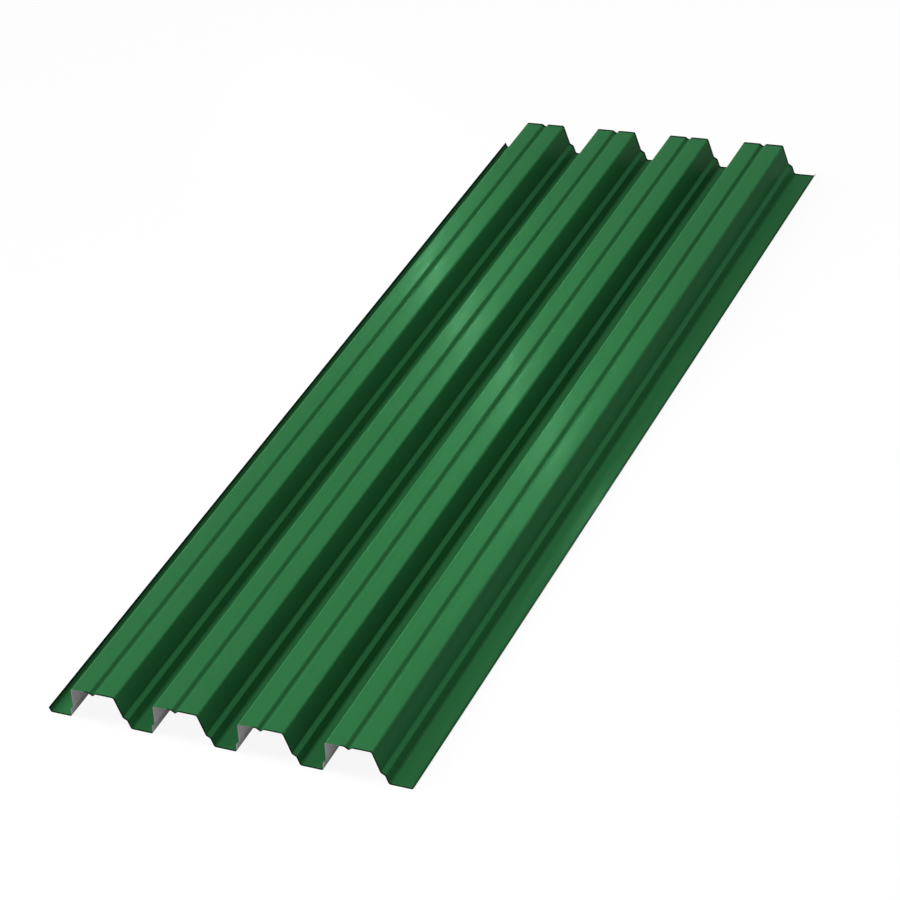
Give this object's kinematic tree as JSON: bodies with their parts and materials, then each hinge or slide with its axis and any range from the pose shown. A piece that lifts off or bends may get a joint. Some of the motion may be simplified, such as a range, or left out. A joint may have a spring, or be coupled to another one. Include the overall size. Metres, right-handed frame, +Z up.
{
  "type": "profiled steel sheet",
  "caption": "Roll-formed trapezoidal steel sheet for roofs and walls: wide crests with a middle groove, stepped webs, narrow flat troughs and lipped side-lap edges, coated green.",
  "frame": {"origin": "middle of the sheet's length and width, on the plane that the undersides of its troughs rest on", "axes": "+X across the sheet towards its right edge flange, +Y along the rolling direction, +Z up, on the crests' side"},
  "size_m": [0.8051, 2.1, 0.075],
  "materials": {
    "coated_steel": "leaf-green polyester coil coating, satin, smooth"
  },
  "bodies": {
    "root": {"profiled_sheet": "coated_steel"}
  },
  "joints": []
}
